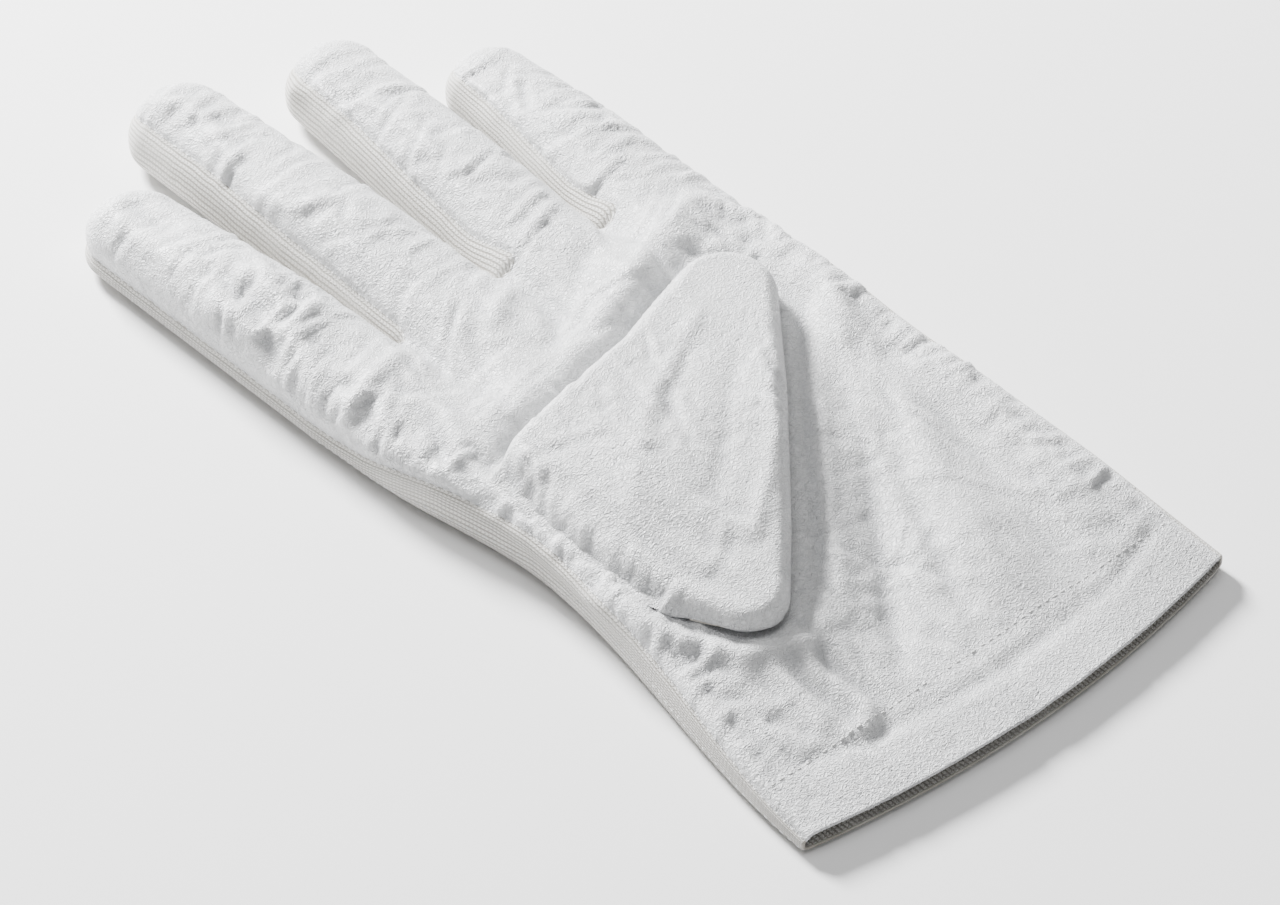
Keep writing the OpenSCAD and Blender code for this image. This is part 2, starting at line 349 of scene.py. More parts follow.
def hand_patch(part):
    """Grid of points of the palm side ('top') or the back, hem to crotches."""
    back = part == "back"
    line = crotch_line()
    rows = row_heights()
    patch = np.zeros((ROWS + 1, COLUMNS + 1, 3))
    for r, y in enumerate(rows):
        flat = resample(hand_section(y, part), COLUMNS)
        patch[r, :, 0], patch[r, :, 2] = flat[:, 0], flat[:, 1]
        patch[r, :, 1] = y
        if y < -HEM_START:
            share = (-HEM_START - y) / (HEM_CORNER - HEM_START)
            patch[r, :, 1] -= share * (hem_curve(flat[:, 0]) - HEM_CORNER)
        share = (y + CUFF_SPLIT) / (CROTCH_Y + CUFF_SPLIT)
        if share > 0:
            patch[r, :, 1] += share ** 3 * (line[:, 1] - CROTCH_Y)
    for k, f in enumerate(FINGERS):
        cols = slice(k * FINGER_CELLS, (k + 1) * FINGER_CELLS + 1)
        u = np.linspace(-1, 1, FINGER_CELLS + 1)
        ex, share = np.where(u < 0, -1.0, 1.0), np.abs(u)
        angle = math.pi - share * (math.pi - UNDER) if back else share * f.seam(ex, 0 * u, 0 * u)
        for r in range(ROWS + 1):
            v = patch[r, cols, 1] - line[cols, 1]
            t = ease(1 + v / FADE)
            if t.max() <= 0:
                continue
            p = f.place(v, ex, 0 * u, angle)
            w = np.full(FINGER_CELLS + 1, 1.0)      # neighbours share the column between them
            w[0], w[-1] = (0.5 if k > 0 else 1), (0.5 if k < 3 else 1)
            base = hand_rest(part, rows[r], cols)
            add = (p - base) * (t * w)[:, None]
            add[:, 1] = 0
            patch[r, cols] += add
    return patch


def hand_rest(part, y, cols):
    flat = resample(hand_section(y, part), COLUMNS)[cols]
    return np.stack([flat[:, 0], np.full(len(flat), y), flat[:, 1]], axis=1)


def hand_wall(part):
    """Grid of a side strip of the hand and cuff, hem to crotch line, seam to underside."""
    f, rim = (FINGERS[0], 0) if part == "left" else (FINGERS[3], -1)
    end = f.wall_patch()[rim]
    line_y = end[:, 1]
    grid = np.zeros((ROWS + 1, WALL_CELLS + 1, 3))
    for r, y in enumerate(row_heights()):
        s = hand_section(y, part)
        grid[r] = np.stack([s[:, 0], np.full(WALL_CELLS + 1, y), s[:, 1]], axis=1)
        share = (y + CUFF_SPLIT) / (CROTCH_Y + CUFF_SPLIT)
        if share > 0:
            grid[r, :, 1] += share ** 3 * (line_y - CROTCH_Y)
        v = grid[r, :, 1] - line_y
        t = ease(1 + v / FADE)[:, None]
        ahead = end + np.outer(v, [f.along[0], f.along[1], 0])
        mixed = mix(grid[r], ahead, t)
        grid[r, :, 0], grid[r, :, 2] = mixed[:, 0], mixed[:, 2]
    return grid


# ---------------------------------------------------------------- one skin, many pieces

class Skin:
    """Points, quads, and for each quad the piece it belongs to and its cloth coordinates."""

    def __init__(self):
        self.points, self.quads, self.tags, self.uvs = [], [], [], []
        self.count = 0
        self.names = []

    def add(self, points):
        points = np.asarray(points, float)
        shape = points.shape[:-1]
        flat = points.reshape(-1, 3)
        self.points.append(flat)
        ids = np.arange(self.count, self.count + len(flat)).reshape(shape)
        self.count += len(flat)
        return ids

    def tag(self, name):
        if name not in self.names:
            self.names.append(name)
        return self.names.index(name)

    def fill(self, ids, name_at, flip=False):
        """Quads over a grid of ids; name_at(row, column) names the piece of each quad."""
        rows, cols = ids.shape
        for r in range(rows - 1):
            for c in range(cols - 1):
                at = [(r, c), (r, c + 1), (r + 1, c + 1), (r + 1, c)]
                if flip:
                    at.reverse()
                self.quads.append([ids[p] for p in at])
                self.tags.append(self.tag(name_at(r, c)))
                self.uvs.append([(q * CELL, p * CELL) for p, q in at])


SADDLE = 4.0        # the crotch pieces reach this far along the fingers
GUSSETS = ["index_middle_gusset", "middle_ring_gusset", "ring_little_gusset"]


def build_skin():
    skin = Skin()
    palm, back = skin.add(hand_patch("top")), skin.add(hand_patch("back"))
    left, right = hand_wall("left"), hand_wall("right")

    def hand_name(top_name, hem_name, cuff_name):
        def name(r, c):
            if r < HEM_ROWS:
                return hem_name
            return cuff_name if r < HEM_ROWS + CUFF_ROWS else top_name
        return name

    def wall_ids(grid, top_ids, back_ids, first=None, last=None):
        ids = np.zeros(grid.shape[:2], int)
        ids[:, 0], ids[:, -1] = top_ids, back_ids
        if first is None:
            ids[:, 1:-1] = skin.add(grid[:, 1:-1])
        else:
            ids[1:-1, 1:-1] = skin.add(grid[1:-1, 1:-1])
            ids[0, 1:-1], ids[-1, 1:-1] = first, last
        return ids

    left_ids = wall_ids(left, palm[:, 0], back[:, 0])
    right_ids = wall_ids(right, palm[:, -1], back[:, -1])

    tops, backs = [], []
    for k, f in enumerate(FINGERS):
        cols = slice(k * FINGER_CELLS, (k + 1) * FINGER_CELLS + 1)
        for made, patch, source in ((tops, f.top_patch(), palm), (backs, f.back_patch(), back)):
            ids = np.zeros(patch.shape[:2], int)
            ids[1:] = skin.add(patch[1:])
            ids[0] = source[-1, cols]
            made.append(ids)

    walls = [f.wall_patch() for f in FINGERS]
    crotch = [left_ids[-1, 1:-1]]
    for k in range(3):
        crotch.append(skin.add((walls[k][-1, 1:-1] + walls[k + 1][0, 1:-1]) / 2))
    crotch.append(right_ids[-1, 1:-1])

    skin.fill(palm, hand_name("palm_leather", "hem_leather", "cuff_leather"))
    skin.fill(back, hand_name("hand_back_knit", "hem_knit", "cuff_back_knit"), flip=True)
    side = hand_name("hand_index_strip", "cuff_index_strip", "cuff_index_strip")
    skin.fill(left_ids, side, flip=True)
    side = hand_name("hand_little_strip", "cuff_little_strip", "cuff_little_strip")
    skin.fill(right_ids, side)

    for k, f in enumerate(FINGERS):
        def segment(r, panel):
            return f"{f.name}_{'base' if r < f.split else 'tip'}_{panel}"

        skin.fill(tops[k], lambda r, c: segment(r, "leather"))
        skin.fill(backs[k], lambda r, c: segment(r, "knit"), flip=True)
        ids = wall_ids(walls[k], f.rim(tops[k]), f.rim(backs[k]), crotch[k], crotch[k + 1])
        last = len(ids) - 2

        def wall_name(r, c):
            near = min(r, last - r)
            if near * f.step < SADDLE:
                if r < last / 2 and k > 0:
                    return GUSSETS[k - 1]
                if r > last / 2 and k < 3:
                    return GUSSETS[k]
            return segment(near, "sides")

        skin.fill(ids, wall_name, flip=True)
    skin.seams = {"palm": palm, "back": back, "left": left_ids, "tops": tops}
    return skin


# ---------------------------------------------------------------- cloth: folds, creases, wrinkles

def smooth_noise(points, seed, short, long, waves=40):
    """Smooth noise of about -1..1 at 3-D points, made of waves between two lengths in mm."""
    rng = np.random.default_rng(seed)
    way = rng.normal(size=(waves, 3))
    way /= np.linalg.norm(way, axis=1, keepdims=True)
    length = rng.uniform(short, long, waves)
    phase = rng.uniform(0, 2 * math.pi, waves)
    total = np.zeros(len(points))
    for k in range(waves):
        total += np.cos(points @ (way[k] * (2 * math.pi / length[k])) + phase[k])
    return total * math.sqrt(2 / waves) * 0.7


def patches(points, seed, size, cover=0.5):
    """0..1 patches of about the given size, over about that share of the surface."""
    n = smooth_noise(points, seed, size * 0.8, size * 2.0, 24)
    return ease((n + (cover - 0.5) * 2) / 0.9 + 0.5)


def along_line(points, line):
    """Distance in plan from points to a polyline, and 0..1 share of the way along it."""
    line = np.array(line, float)
    steps = np.maximum(np.hypot(*np.diff(line, axis=0).T), 1e-9)
    total, gone = steps.sum(), 0.0
    best, share = np.full(len(points), 1e9), np.zeros(len(points))
    for a, b, step in zip(line[:-1], line[1:], steps):
        t = np.clip(((points - a) @ (b - a)) / step ** 2, 0, 1)
        d = np.hypot(*(points - a - t[:, None] * (b - a)).T)
        near = d < best
        best = np.where(near, d, best)
        share = np.where(near, (gone + t * step) / total, share)
        gone += step
    return best, share


def fold(co, facing, line, width, height):
    """Height of a soft ridge (or valley, if negative) along a line on the palm side."""
    reach = 4 * width
    out = np.zeros(len(co))
    low, high = np.min(line, axis=0) - reach, np.max(line, axis=0) + reach
    pick = ((co[:, :2] > low) & (co[:, :2] < high)).all(axis=1) & (facing > 0.15)
    d, share = along_line(co[pick, :2], line)
    ends = np.clip(4 * share * (1 - share) * 1.6, 0.12, 1)
    shape = np.exp(-((d / width) ** 1.5))
    if width < 5:
        shape = 0.45 * shape + 0.55 * np.exp(-d / (0.8 * width))
    out[pick] = height * ends * shape * ease(facing[pick] / 0.5)
    return out


def scatter(rng, count, low, high, lean, spread, length, depth):
    """Short curved creases in a box of the plan; lean is their direction from +X, in degrees."""
    lines = []
    for _ in range(count):
        at = rng.uniform(low, high)
        turn = math.radians(rng.normal(lean, spread))
        half = rng.uniform(*length) / 2
        way = np.array([math.cos(turn), math.sin(turn)])
        bow = np.array([-way[1], way[0]]) * rng.normal(0, 0.16) * half
        height, width = rng.uniform(*depth), rng.uniform(0.9, 1.7)
        line = np.array([at - way * half, at + bow, at + way * half])
        beside = rng.choice((-1.6, 1.6)) * width * np.array([-way[1], way[0]])
        lines.append((line, width, -height))
        lines.append((line + beside, 1.3 * width, 0.75 * height))
    return lines


def palm_creases():
    rng = np.random.default_rng(71)
    lines = []
    for f in FINGERS:
        for v in np.arange(4, f.cap + 6, 6.0):
            at = f.root + f.along * v
            lean = -math.degrees(math.atan2(f.along[0], f.along[1]))
            lines += scatter(rng, 2, at - (9, 3), at + (9, 3), lean, 30, (10, 26), (0.2, 0.55))
    lines += scatter(rng, 46, (-60, -16), (62, 36), 60, 60, (12, 34), (0.2, 0.55))
    lines += scatter(rng, 40, (-50, -128), (60, -30), 100, 28, (16, 44), (0.15, 0.45))
    lines += scatter(rng, 22, (-60, -128), (60, -60), 10, 25, (10, 22), (0.12, 0.3))
    for y in np.arange(-118, 96, 4.8):
        edge = float(index_edge(y)) + 5
        lines += scatter(rng, 1, (edge - 2, y - 3), (edge + 6, y + 3), 14, 28, (7, 16), (0.1, 0.55))
    for y in np.arange(-118, 76, 5.0):
        lines += scatter(rng, 1, (56, y - 2), (62, y + 2), 0, 22, (7, 13), (0.2, 0.5))
    return lines


def thumb_creases():
    rng = np.random.default_rng(72)
    lines = scatter(rng, 26, (-40, -84), (30, -8), 62, 22, (12, 32), (0.15, 0.45))
    lines += scatter(rng, 14, (-44, -84), (20, -16), -20, 25, (10, 20), (0.12, 0.35))
    for y in np.arange(-84, -22, 3.4):
        lines += scatter(rng, 1, (-50, y - 1), (-44, y + 1), 20, 25, (6, 11), (0.2, 0.5))
    return lines


def edges_of(quads):
    """Unique edges, and pairs of points two cells apart along the grid, of a quad mesh."""
    a, b = quads.ravel(), np.roll(quads, -1, axis=1).ravel()
    before, after = np.roll(quads, 1, axis=1).ravel(), np.roll(quads, -2, axis=1).ravel()
    swap = a > b
    key = np.where(swap, b, a) * (quads.max() + 1) + np.where(swap, a, b)
    order = np.argsort(key, kind="stable")
    same = key[order[1:]] == key[order[:-1]]
    one, two = order[:-1][same], order[1:][same]
    edge = np.unique(np.stack([np.minimum(a, b), np.maximum(a, b)], axis=1), axis=0)
    straight = np.concatenate([
        np.stack([before[one], after[two]], axis=1), np.stack([after[one], before[two]], axis=1)])
    across = np.concatenate([quads[:, [0, 2]], quads[:, [1, 3]]])
    return edge, across, straight


def crumple(co, quads, slack, hold, steps, stiff=0.12, kick=0.25, seed=1):
    """Lets cloth with some slack buckle: links keep their length, points drift back by hold."""
    edge, across, straight = edges_of(quads)
    pairs = np.concatenate([edge, across, straight])
    power = np.concatenate([np.full(len(edge), 1.0), np.full(len(across), 0.6),
                            np.full(len(straight), stiff)])
    i, j = pairs.T
    rest = np.linalg.norm(co[i] - co[j], axis=1) * (1 + (slack[i] + slack[j]) / 2)
    load = np.bincount(i, power, len(co)) + np.bincount(j, power, len(co))
    normals = vertex_normals(co, quads)
    x = co + normals * (kick * smooth_noise(co, seed, 6, 16, 48) * (slack > 0))[:, None]
    for _ in range(steps):
        d = x[i] - x[j]
        length = np.maximum(np.linalg.norm(d, axis=1), 1e-6)
        push = d * (0.5 * power * (rest - length) / length)[:, None]
        for k in range(3):
            move = np.bincount(i, push[:, k], len(co)) - np.bincount(j, push[:, k], len(co))
            x[:, k] += 1.6 * move / load
        x += (co - x) * hold[:, None]
    return x


def vertex_normals(co, quads):
    a, b = co[quads[:, 2]] - co[quads[:, 0]], co[quads[:, 3]] - co[quads[:, 1]]
    n = np.cross(a, b)
    total = np.zeros_like(co)
    for k in range(4):
        for axis in range(3):
            total[:, axis] += np.bincount(quads[:, k], n[:, axis], len(co))
    return total / np.maximum(np.linalg.norm(total, axis=1, keepdims=True), 1e-12)


def hollow_of(co, quads, normals):
    """How far each point lies below the mean of its neighbours, in mm."""
    edge, across, _ = edges_of(quads)
    i, j = np.concatenate([edge, across]).T
    count = np.bincount(i, minlength=len(co)) + np.bincount(j, minlength=len(co))
    mean = np.zeros_like(co)
    for axis in range(3):
        mean[:, axis] = (np.bincount(i, co[j, axis], len(co))
                         + np.bincount(j, co[i, axis], len(co))) / count
    return ((mean - co) * normals).sum(axis=1)


def spread(value, quads, times):
    """A value per point, smoothed over its neighbours."""
    i, j = edges_of(quads)[0].T
    count = 1 + np.bincount(i, minlength=len(value)) + np.bincount(j, minlength=len(value))
    for _ in range(times):
        value = (value + np.bincount(i, value[j], len(value))
                 + np.bincount(j, value[i], len(value))) / count
    return value


# ---------------------------------------------------------------- meshes

class Cloth:
    """A quad mesh in millimetres with its pieces' tags and cloth coordinates."""

    def __init__(self, co, quads, tags, uv, names):
        self.co, self.quads, self.tags, self.uv, self.names = co, quads, tags, uv, names
        self.normals = vertex_normals(co, quads)

    def on(self, test):
        """1 for every point that touches a quad whose piece name passes the test, else 0."""
        good = np.array([test(n) for n in self.names])[self.tags]
        out = np.zeros(len(self.co))
        out[self.quads[good].ravel()] = 1
        return out

    def seams(self):
        return self.on(is_leather) * self.on(lambda n: not is_leather(n))

    def moved(self, co):
        return Cloth(co, self.quads, self.tags, self.uv, self.names)

    def finer(self):
        """The same cloth with every quad split in four, smoothed as a subdivision surface."""
        mesh = bpy.data.meshes.new("cloth")
        mesh.from_pydata((self.co * MM).tolist(), [], self.quads.tolist())
        mesh.polygons.foreach_set("material_index", self.tags)
        for _ in self.names:
            mesh.materials.append(None)
        layer = mesh.uv_layers.new(name="cloth")
        layer.data.foreach_set("uv", self.uv.ravel())
        obj = bpy.data.objects.new("cloth", mesh)
        bpy.context.collection.objects.link(obj)
        mod = obj.modifiers.new("smooth", "SUBSURF")
        mod.levels = mod.render_levels = 1
        mod.uv_smooth = "NONE"
        mod.boundary_smooth = "PRESERVE_CORNERS"
        made = obj.evaluated_get(bpy.context.evaluated_depsgraph_get()).to_mesh()
        co = np.empty(len(made.vertices) * 3)
        made.vertices.foreach_get("co", co)
        quads = np.empty(len(made.polygons) * 4, int)
        made.polygons.foreach_get("vertices", quads)
        tags = np.empty(len(made.polygons), int)
        made.polygons.foreach_get("material_index", tags)
        uv = np.empty(len(made.loops) * 2)
        made.uv_layers[0].data.foreach_get("uv", uv)
        bpy.data.objects.remove(obj)
        bpy.data.meshes.remove(mesh)
        return Cloth(co.reshape(-1, 3) / MM, quads.reshape(-1, 4), tags,
                     uv.reshape(-1, 4, 2), self.names)


def is_leather(name):
    return "leather" in name or name.startswith("thumb")


def border_of(quads):
    """Directed edges that only one quad uses."""
    a, b = quads.ravel(), np.roll(quads, -1, axis=1).ravel()
    ways = {(int(p), int(q)) for p, q in zip(a, b)}
    return np.array([(p, q) for p, q in zip(a, b) if (int(q), int(p)) not in ways])


def outward(co, normal, p, q):
    """Points of the edges p to q, and the direction away from the cloth at each."""
    away = np.zeros((len(co), 3))
    side = np.cross(co[q] - co[p], normal[p])
    side /= np.maximum(np.linalg.norm(side, axis=1, keepdims=True), 1e-9)
    np.add.at(away, p, side)
    np.add.at(away, q, side)
    edge = np.unique(np.concatenate([p, q]))
    return edge, away[edge] / np.linalg.norm(away[edge], axis=1, keepdims=True)


def closed_piece(name, cloth, pick, thick, material, inset=0.0, rolled=None, hollow=None):
    """A thin closed solid made of some of a cloth's quads; rolled marks points on a folded edge."""
    quads = cloth.quads[pick]
    used, local = np.unique(quads, return_inverse=True)
    local = local.reshape(quads.shape)
    n = len(used)
    out, normal = cloth.co[used] - cloth.normals[used] * inset, cloth.normals[used]
    inner = out - normal * thick
    co, normals, faces = [out, inner], [normal, -normal], [local, local[:, ::-1] + n]
    uv = [cloth.uv[pick], cloth.uv[pick][:, ::-1]]

    border = border_of(local)
    if len(border):
        p, q = border.T
        soft = np.zeros(len(border), bool)
        if rolled is not None:
            soft = rolled[used][p] & rolled[used][q]
        hard = border[~soft]
        faces.append(np.stack([hard[:, 1], hard[:, 0], hard[:, 0] + n, hard[:, 1] + n], axis=1))
        if soft.any():
            p, q = border[soft].T
            edge, away = outward(out, normal, p, q)
            at = np.zeros(n, int)
            at[edge] = np.arange(len(edge)) + 2 * n
            co.append((out[edge] + inner[edge]) / 2 + away * thick * 0.4)
            normals.append(away)
            faces.append(np.stack([q, p, at[p], at[q]], axis=1))
            faces.append(np.stack([at[q], at[p], p + n, q + n], axis=1))
        uv.append(np.zeros((sum(len(f) for f in faces[2:]), 4, 2)))

    mesh = bpy.data.meshes.new(name)
    mesh.from_pydata((np.concatenate(co) * MM).tolist(), [], np.concatenate(faces).tolist())
    layer = mesh.uv_layers.new(name="cloth")
    layer.data.foreach_set("uv", np.concatenate(uv).ravel())
    # hollow is stored for the materials, which paint shade in the hollows and a highlight on the
    # ridges
    if hollow is not None:
        worn = np.zeros(len(mesh.vertices))
        worn[:n] = hollow[used]
        mesh.attributes.new("hollow", "FLOAT", "POINT").data.foreach_set("value", worn)
    mesh.polygons.foreach_set("use_smooth", [True] * len(mesh.polygons))
    mesh.normals_split_custom_set_from_vertices(np.concatenate(normals).tolist())
    mesh.materials.append(material)
    obj = bpy.data.objects.new(name, mesh)
    bpy.context.collection.objects.link(obj)
    return obj


def attach(obj, name):
    """Bake the transform of finger, cuff, hem and thumb pieces (but not the thumb's gusset) in
    place; attach every other piece to the hand's body.
    """
    part = name.split("_")[0]
    f = next((f for f in FINGERS if f.name == part and ("_base_" in name or "_tip_" in name)), None)
    if f is not None:
        def at(v):
            x, y = (f.root + f.along * v) * MM
            return (x, y, 0.0)
        if "_base_" in name:
            at(KNUCKLE_AT - 8)
            at(KNUCKLE_AT + 8)
            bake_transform(obj)
        else:
            at(f.bend - 9)
            at(f.bend + 9)
            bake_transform(obj)
    elif part in ("cuff", "hem"):
        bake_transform(obj)
    elif part == "thumb" and name != "thumb_gusset":
        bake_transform(obj)
    else:
        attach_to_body(obj, "hand")


# ---------------------------------------------------------------- the thumb

THUMB_BEND = (-49.0, -39.0)      # x of two lines across the thumb's base; the thumb's liner starts 4 mm past the first
THUMB_LEFT = -53.0               # where its soft base meets the palm
THUMB_CROWN = 25.6
THUMB_CELLS = (46, 34)           # along the thumb, and across it
THUMB_ROUND = 4.2                # how far in its rounded edge reaches


def arc(centre, radius, first, last, count=16):
    a = np.radians(np.linspace(first, last, count))
    return np.stack([centre[0] + radius * np.cos(a), centre[1] + radius * np.sin(a)], axis=1)


def thumb_plan():
    """Plan of the thumb as a grid from its base to its tip, and its free outline."""
    tip, heel = arc((33, -12.5), 12.5, 104, -37, 24), arc((-33, -89), 11, -37, -168, 16)
    top = np.concatenate([[(THUMB_LEFT, -23), (-47, -21.5), (-40, -19), (-20, -15), (0, -11.2)],
                          tip[:9]])
    low = np.concatenate([heel[:8][::-1], [(-10, -80.9), (20, -47.7)], tip[14:][::-1]])
    low = resample(low, 60)
    base = np.concatenate([heel[7:], [(-47, -84), (THUMB_LEFT, -76), (THUMB_LEFT, -23)]])
    along, across = THUMB_CELLS
    s, t = np.linspace(0, 1, along + 1), np.linspace(0, 1, across + 1)
    s = mix(s, np.sin(s * math.pi / 2), 0.35)
    t = mix(t, (1 - np.cos(t * math.pi)) / 2, 0.6)

    def at(line, share):
        dense = resample(np.asarray(line, float), 400)
        marks = np.arange(401)
        return np.stack([np.interp(share * 400, marks, dense[:, k]) for k in (0, 1)], axis=1)

    upper, lower = at(top, s), at(low, s)
    left, right = at(base, t), at(tip[8:15][::-1], t)
    s, t = s[:, None, None], t[None, :, None]
    corners = (mix(lower[0], upper[0], t), mix(lower[-1], upper[-1], t))
    grid = (mix(lower[:, None], upper[:, None], t) + mix(left[None], right[None], s)
            - mix(corners[0], corners[1], s))
    outline = np.concatenate([top, tip[8:15], low[::-1], heel[7:], [(-47, -84)]])
    return grid, outline


def build_thumb(palm_height):
    grid, outline = thumb_plan()
    flat = grid.reshape(-1, 2)
    d = along_line(flat, outline)[0].reshape(grid.shape[:2])
    edge = np.zeros(grid.shape[:2], bool)
    edge[0] = edge[-1] = edge[:, 0] = edge[:, -1] = True
    d = np.where(edge & (grid[..., 0] > THUMB_LEFT + 1), 0, d)
    under = palm_height(flat).reshape(d.shape)
    rise = np.sqrt(np.clip(1 - (1 - np.clip(d / THUMB_ROUND, 0, 1)) ** 2, 0, 1))
    x, y = grid[..., 0], grid[..., 1]
    upness = ease((y - (0.86 * x - 50)) / 50)
    middle = under + mix(2.2, 4.8, upness) - 3.5 * (1 - ease((x - THUMB_LEFT) / 13))
    crown = mix(19.8, THUMB_CROWN, ease((y + 104) / 66)) - 1.4 * ease((x - 10) / 35)
    crown -= 3.2 * (1 - ease((x - THUMB_LEFT) / 30))
    top = middle + (crown - middle) * rise
    low = middle + (under + 0.5 - middle) * rise
    roll = ease((x - THUMB_LEFT) / 10.5)
    ripple = 0.9 * np.sin((x - THUMB_LEFT) * 2 * math.pi / 5.2) * np.clip(1 - roll, 0, 1) * roll * 2
    top = mix(under - 2.0, top, roll) + ripple
    low = mix(under - 2.0, low, ease((x - THUMB_LEFT) / 5))
    low = np.minimum(low, top - 0.3 * (rise > 0))

    thumb = Skin()
    upper = thumb.add(np.concatenate([grid, top[..., None]], axis=-1))
    lower = upper.copy()
    lower[1:-1, 1:-1] = thumb.add(np.concatenate([grid, low[..., None]], axis=-1)[1:-1, 1:-1])
    rows, cols = edge.shape[0] - 1, edge.shape[1] - 1

    def name_at(face):
        def name(r, c):
            if r == 0 and grid[0, c, 0] < THUMB_LEFT + 0.5 and grid[0, c + 1, 0] < THUMB_LEFT + 0.5:
                return "thumb_gusset"
            return "thumb_rim" if min(c, cols - 1 - c, rows - 1 - r) < 2 else face
        return name

    thumb.fill(upper, name_at("thumb_front"), flip=True)
    thumb.fill(lower, name_at("thumb_back"))
    return thumb, upper


# ---------------------------------------------------------------- materials

class Paint:
    """Small helper to wire one procedural material."""

    def __init__(self, name, colour, rough):
        self.material = bpy.data.materials.new(name)
        self.material.use_nodes = True
        self.tree = self.material.node_tree
        self.shader = self.tree.nodes["Principled BSDF"]
        self.shader.inputs["Base Color"].default_value = (*colour, 1)
        self.shader.inputs["Roughness"].default_value = rough
        self.place = self.node("ShaderNodeTexCoord").outputs["Object"]
        self.uv = self.node("ShaderNodeTexCoord").outputs["UV"]

    def node(self, kind, settings=(), **inputs):
        n = self.tree.nodes.new(kind)
        for key, value in dict(settings).items():
            setattr(n, key, value)
        for key, value in inputs.items():
            self.put(n.inputs[key.replace("_", " ")], value)
        return n

    def put(self, socket, value):
        if isinstance(value, bpy.types.NodeSocket):
            self.tree.links.new(value, socket)
        else:
            socket.default_value = value

    def noise(self, scale, detail=3):
        return self.node("ShaderNodeTexNoise", Vector=self.place, Scale=scale,
                         Detail=detail).outputs["Fac"]

    def hollow(self):
        """How far a point lies below the mean of its neighbours, in mm."""
        return self.node("ShaderNodeAttribute", {"attribute_name": "hollow"}).outputs["Fac"]

    def maths(self, what, a, b=0.0):
        n = self.node("ShaderNodeMath", {"operation": what})
        self.put(n.inputs[0], a)
        self.put(n.inputs[1], b)
        return n.outputs[0]

    def ramp(self, value, low, high, to_low=0.0, to_high=1.0):
        n = self.node("ShaderNodeMapRange", {"interpolation_type": "SMOOTHSTEP"}, Value=value)
        limits = {"From Min": low, "From Max": high, "To Min": to_low, "To Max": to_high}
        for key, v in limits.items():
            n.inputs[key].default_value = v
        return n.outputs[0]

    def tint(self, fac, a, b):
        n = self.node("ShaderNodeMix", {"data_type": "RGBA"})
        self.put(n.inputs["Factor"], fac)
        self.put(n.inputs["A"], (*a, 1) if isinstance(a, tuple) else a)
        self.put(n.inputs["B"], (*b, 1) if isinstance(b, tuple) else b)
        return n.outputs["Result"]

    def bump(self, height, distance, strength=1.0, on=None):
        n = self.node("ShaderNodeBump", Height=height, Distance=distance, Strength=strength)
        if on is not None:
            self.put(n.inputs["Normal"], on)
        return n.outputs["Normal"]


def leather_paint():
    p = Paint("white_leather_grain", (0.74, 0.75, 0.76), 0.5)
    warp = p.node("ShaderNodeMix", {"data_type": "VECTOR"})
    warp.inputs["Factor"].default_value = 0.0022
    p.put(warp.inputs["A"], p.place)
    p.put(warp.inputs["B"], p.node("ShaderNodeTexNoise", Vector=p.place, Scale=420).outputs["Color"])
    where = warp.outputs["Result"]

    def plates(scale, line, turn=0.0, stretch=1.0):
        """0 on the lines between leather's plates, 1 on the plates."""
        m = p.node("ShaderNodeMapping", Vector=where)
        m.inputs["Rotation"].default_value = (0, 0, turn)
        m.inputs["Scale"].default_value = (1, stretch, 1)
        v = p.node("ShaderNodeTexVoronoi", {"feature": "DISTANCE_TO_EDGE"}, Vector=m.outputs[0],
                   Scale=scale)
        return p.ramp(v.outputs["Distance"], 0.0, line)

    crease = plates(300, 0.075, 0.3, 1.7)
    crease = p.maths("MAXIMUM", crease, p.maths("SUBTRACT", 1.0, p.ramp(p.noise(45, 3), 0.4, 0.6)))
    middle = plates(560, 0.12, 1.2, 1.3)
    pebble = plates(880, 0.22, 0.5, 1.55)
    fine = p.noise(2600, 2)
    hollow = p.hollow()
    # painted shade and painted highlight: the leather is painted darker in its hollows and lighter
    # on its ridges, read from the hollow attribute
    painted_shade = p.ramp(hollow, 0.0, 0.13)
    light = p.ramp(hollow, -0.14, 0.0, 1.0, 0.0)
    tone = p.tint(p.ramp(p.noise(26, 4), 0.35, 0.7), (0.58, 0.585, 0.59), (0.70, 0.705, 0.71))
    tone = p.tint(p.maths("MULTIPLY", light, 0.55), tone, (0.88, 0.885, 0.89))
    tone = p.tint(p.maths("MULTIPLY", painted_shade, 0.45), tone, (0.42, 0.43, 0.45))
    # grain lines: the pebble lines are painted lighter, a painted highlight on the grain's ridges;
    # the middle and crease lines are tinted darker
    for lines, share, colour in (
            (pebble, 0.3, (0.84, 0.845, 0.85)),
            (middle, 0.24, (0.42, 0.425, 0.435)),
            (crease, 0.32, (0.48, 0.49, 0.51))):
        tone = p.tint(p.maths("MULTIPLY", p.maths("SUBTRACT", 1.0, lines), share), tone, colour)
    p.put(p.shader.inputs["Base Color"], tone)
    p.put(p.shader.inputs["Roughness"], p.ramp(p.noise(60, 3), 0.3, 0.7, 0.36, 0.52))
    normal = p.bump(crease, 0.0004, 0.4)
    normal = p.bump(middle, 0.00022, 0.3, normal)
    normal = p.bump(p.maths("SUBTRACT", 1.0, pebble), 0.00016, 0.8, normal)
    normal = p.bump(fine, 0.00004, 0.3, normal)
    p.put(p.shader.inputs["Normal"], normal)
    p.shader.inputs["Specular IOR Level"].default_value = 0.45
    p.shader.inputs["Sheen Weight"].default_value = 0.1
    return p.material


